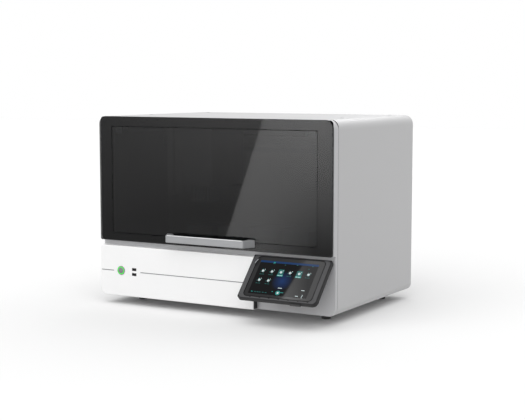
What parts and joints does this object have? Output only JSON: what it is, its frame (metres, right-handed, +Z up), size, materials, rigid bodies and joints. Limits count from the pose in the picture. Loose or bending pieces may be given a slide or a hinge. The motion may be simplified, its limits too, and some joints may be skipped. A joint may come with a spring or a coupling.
{
  "type": "nucleic acid extractor",
  "caption": "Bench-top magnetic-rod extractor: tinted lift-up door over a plate chamber with a travelling comb head, white cover, tilting touch screen at the lower right.",
  "frame": {"origin": "centre of the bounding box in plan, on the surface that the feet stand on", "axes": "+X to the right of a person facing the front, +Y towards the rear, +Z up"},
  "size_m": [0.73, 0.5906, 0.5266],
  "materials": {
    "white_shell": "semi-gloss paint",
    "white_front": "smooth",
    "grey_bezel": "semi-gloss paint",
    "tinted_glass": "dark tint",
    "black_plastic": "fine texture",
    "black_rubber": "matt",
    "steel": "brushed",
    "aluminium": "satin",
    "brushed_handle": "brushed",
    "green_light": "lit",
    "clear_plastic": "smooth",
    "lamp_glass": "clear",
    "white_plastic": "smooth",
    "display_face": "lit panel",
    "touch_glass": "clear coat",
    "board_green": "coated",
    "dark_metal": "matt paint"
  },
  "bodies": {
    "case": {"outer_cover": "white_shell", "front_bezel": "grey_bezel", "door_seal_strips": "black_rubber", "lower_front_panel": "white_front", "usb_sockets": "steel", "power_button_body": "steel", "power_button_light": "green_light", "base_plate": "steel", "inner_posts": "steel", "feet": "black_rubber", "case_screws": "steel", "rear_panel": "white_shell", "fan_frame": "black_plastic", "fan_guard": "steel", "power_inlet": "black_plastic", "data_ports": "steel", "power_supply": "aluminium", "main_board": "board_green", "chamber_liner": "white_shell", "deck_plate": "aluminium", "heater_blocks": "aluminium", "deep_well_plate_1": "clear_plastic", "deep_well_plate_2": "clear_plastic", "deep_well_plate_3": "clear_plastic", "deep_well_plate_4": "clear_plastic", "uv_lamp": "lamp_glass", "lamp_holders": "white_plastic", "cross_beam": "aluminium", "cross_rail": "steel", "cross_belt": "black_rubber", "cross_motor": "dark_metal", "hinge_body_leaves": "steel", "screen_bracket": "steel"},
    "door": {"door_glass": "tinted_glass", "door_frame": "dark_metal", "door_handle": "brushed_handle", "door_screws": "steel", "hinge_door_leaves": "steel"},
    "screen": {"screen_bumper": "black_plastic", "screen_glass": "touch_glass", "screen_display": "display_face", "screen_shell": "black_plastic"},
    "head": {"cross_carriage": "steel", "head_frame": "aluminium", "head_cover": "white_shell", "head_duct": "white_plastic", "lift_motor": "dark_metal"},
    "comb_stage": {"lift_stage": "aluminium", "comb_holder": "aluminium", "tip_comb": "clear_plastic", "rod_motor": "dark_metal"},
    "rod_stage": {"rod_plate": "aluminium", "magnet_rods": "steel"},
    "lift_drive": {"lift_screw": "steel"},
    "rod_drive": {"rod_screw": "steel"},
    "drive_wheel": {"drive_pulley": "aluminium"},
    "idler_wheel": {"idler_pulley": "aluminium"},
    "fan": {"fan_rotor": "black_plastic"},
    "button": {"power_button_cap": "steel"},
    "rocker": {"mains_rocker": "black_plastic"}
  },
  "joints": [
    {"name": "door_hinge", "type": "hinge", "parent": "case", "child": "door", "pos_m": [0, -0.1967, 0.5215], "axis": [-1, 0, 0], "range_deg": [0, 85]},
    {"name": "screen_tilt", "type": "hinge", "parent": "case", "child": "screen", "pos_m": [0.2489, -0.1937, 0.1556], "axis": [1, 0, 0], "range_deg": [-8, 28]},
    {"name": "head_travel", "type": "slide", "parent": "case", "child": "head", "axis": [1, 0, 0], "range_m": [-0.1, 0.3]},
    {"name": "comb_lift", "type": "slide", "parent": "head", "child": "comb_stage", "axis": [0, 0, -1], "range_m": [0, 0.095]},
    {"name": "rod_lift", "type": "slide", "parent": "comb_stage", "child": "rod_stage", "axis": [0, 0, -1], "range_m": [0, 0.044]},
    {"name": "lift_screw_spin", "type": "hinge", "parent": "head", "child": "lift_drive", "pos_m": [-0.081, 0.0053, 0.405], "axis": [0, 0, 1], "continuous": true},
    {"name": "rod_screw_spin", "type": "hinge", "parent": "comb_stage", "child": "rod_drive", "pos_m": [-0.081, -0.0737, 0.385], "axis": [0, 0, 1], "continuous": true},
    {"name": "drive_wheel_spin", "type": "hinge", "parent": "case", "child": "drive_wheel", "pos_m": [0.29, 0.0398, 0.48], "axis": [0, 1, 0], "continuous": true},
    {"name": "idler_wheel_spin", "type": "hinge", "parent": "case", "child": "idler_wheel", "pos_m": [-0.29, 0.0398, 0.48], "axis": [0, 1, 0], "continuous": true},
    {"name": "fan_spin", "type": "hinge", "parent": "case", "child": "fan", "pos_m": [0, 0.2743, 0.365], "axis": [0, 1, 0], "continuous": true},
    {"name": "power_button_press", "type": "slide", "parent": "case", "child": "button", "axis": [0, 1, 0], "range_m": [0, 0.002], "stiffness_N_per_m": 900, "springref_m": -0.0005},
    {"name": "mains_rocker_tip", "type": "hinge", "parent": "case", "child": "rocker", "pos_m": [-0.233, 0.2873, 0.105], "axis": [-1, 0, 0], "range_deg": [0, 16]}
  ],
  "couplings": [
    {"joint": "lift_screw_spin", "follows": "comb_lift", "rad_per_m": 785.4},
    {"joint": "rod_screw_spin", "follows": "rod_lift", "rad_per_m": 1570.8},
    {"joint": "drive_wheel_spin", "follows": "head_travel", "rad_per_m": -114.29},
    {"joint": "idler_wheel_spin", "follows": "head_travel", "rad_per_m": -114.29}
  ]
}
